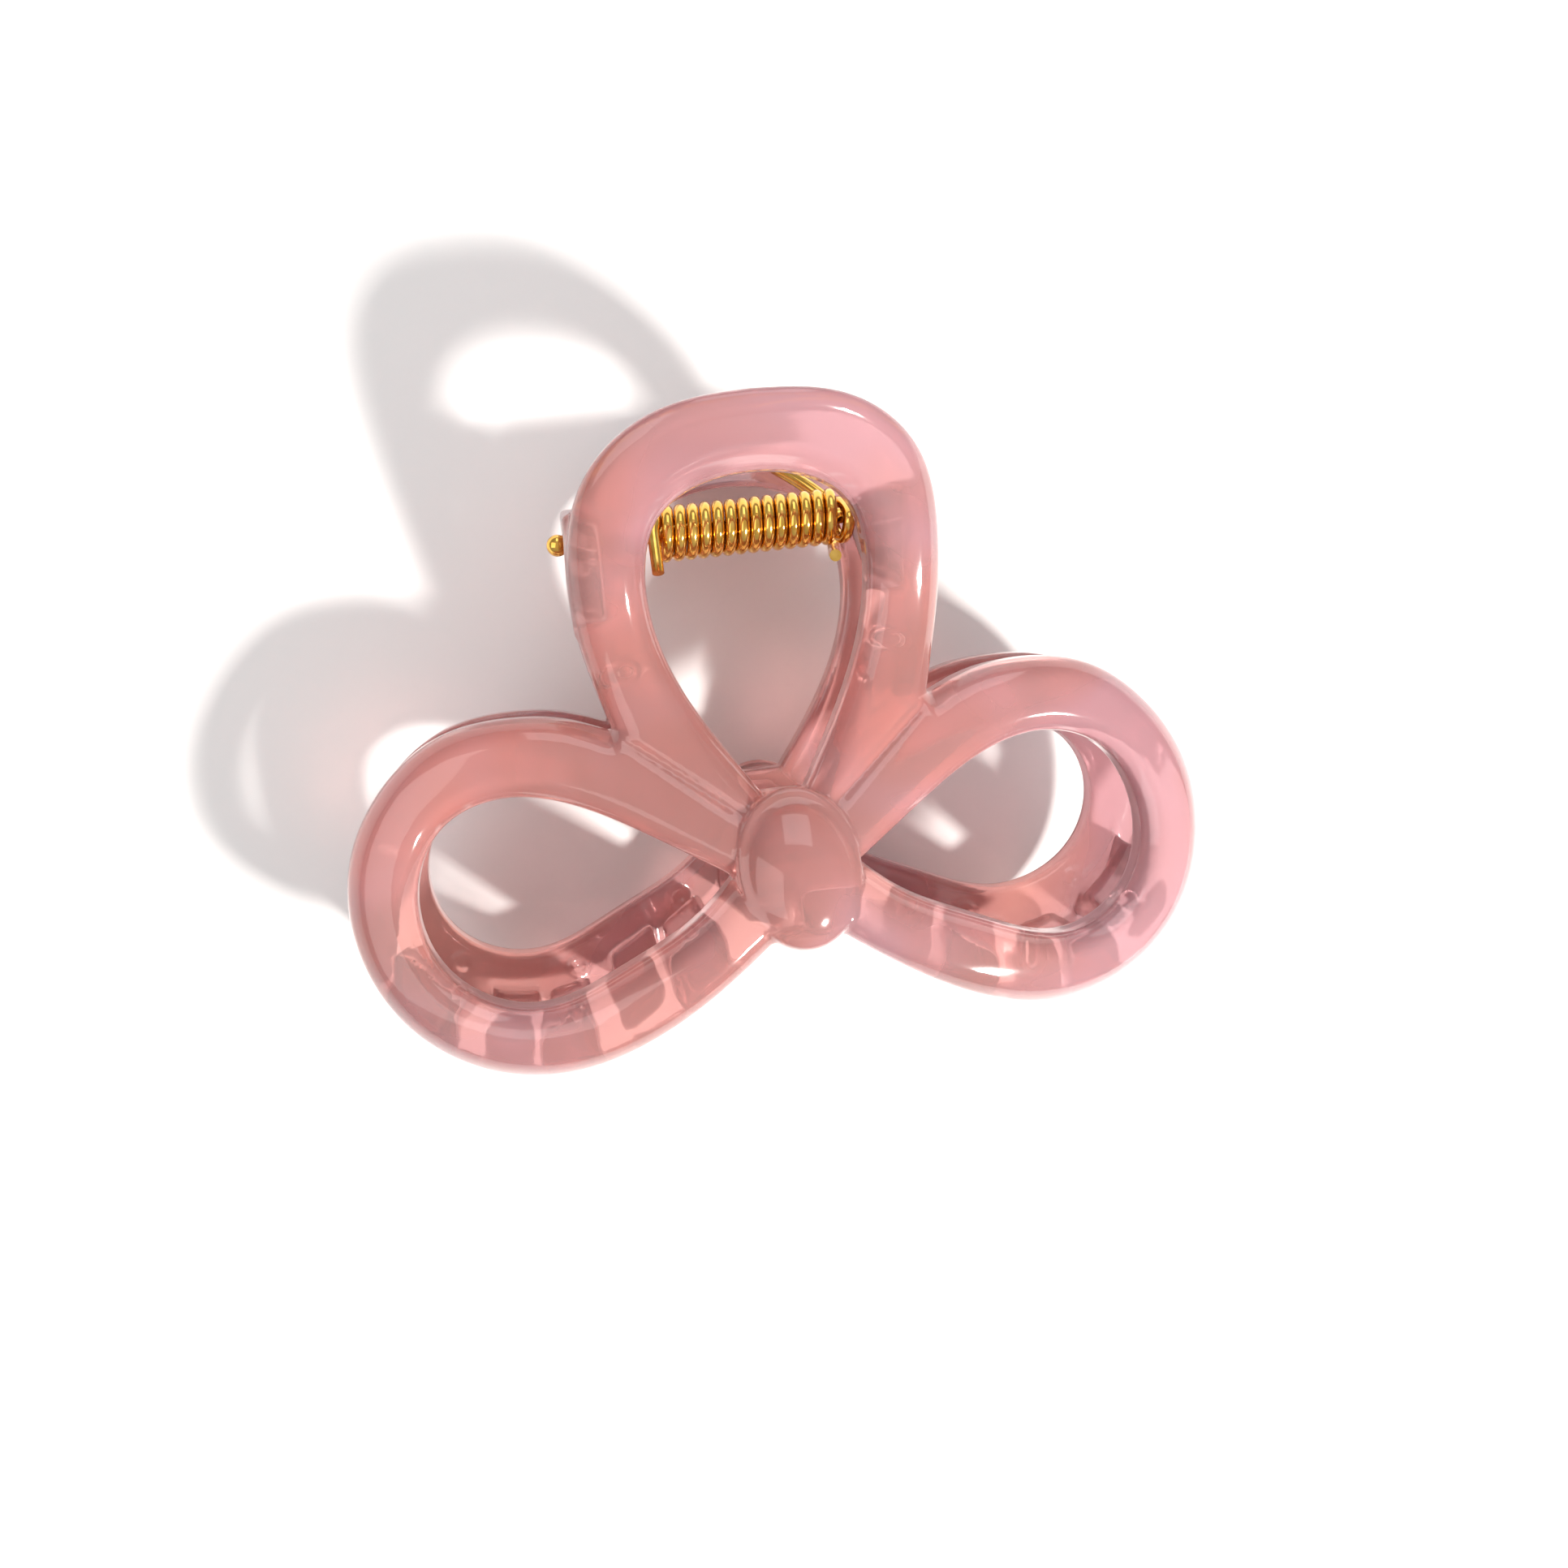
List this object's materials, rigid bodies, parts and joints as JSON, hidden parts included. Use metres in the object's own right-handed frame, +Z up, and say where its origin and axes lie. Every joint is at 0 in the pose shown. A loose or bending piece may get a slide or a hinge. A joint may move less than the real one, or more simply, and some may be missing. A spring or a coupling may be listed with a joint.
{
  "type": "claw clip",
  "caption": "Bow-shaped hair claw clip: two hinged plastic halves, each three open loops round an oval knot, with interlocking teeth, a hinge pin and a torsion spring.",
  "frame": {"origin": "centre of the closed clip's footprint, on the surface that it lies on with its back half down", "axes": "+X along the hinge pin, +Y from the jaws towards the handle tips, +Z up, out of the front half's face"},
  "size_m": [0.1058, 0.0774, 0.0502],
  "materials": {
    "pink_plastic": "glossy, milky translucent",
    "gold_metal": "polished, gold coloured plating"
  },
  "bodies": {
    "back_jaw": {"back_half": "pink_plastic", "hinge_pin": "gold_metal", "torsion_spring": "gold_metal"},
    "front_jaw": {"front_half": "pink_plastic"}
  },
  "joints": [
    {"name": "jaw_open", "type": "hinge", "parent": "back_jaw", "child": "front_jaw", "pos_m": [0, 0.02362, 0.0246], "axis": [-1, 0, 0], "range_deg": [0, 70], "stiffness_Nm_per_rad": 0.15, "springref_deg": -20.05, "deforming": ["torsion_spring"]}
  ]
}
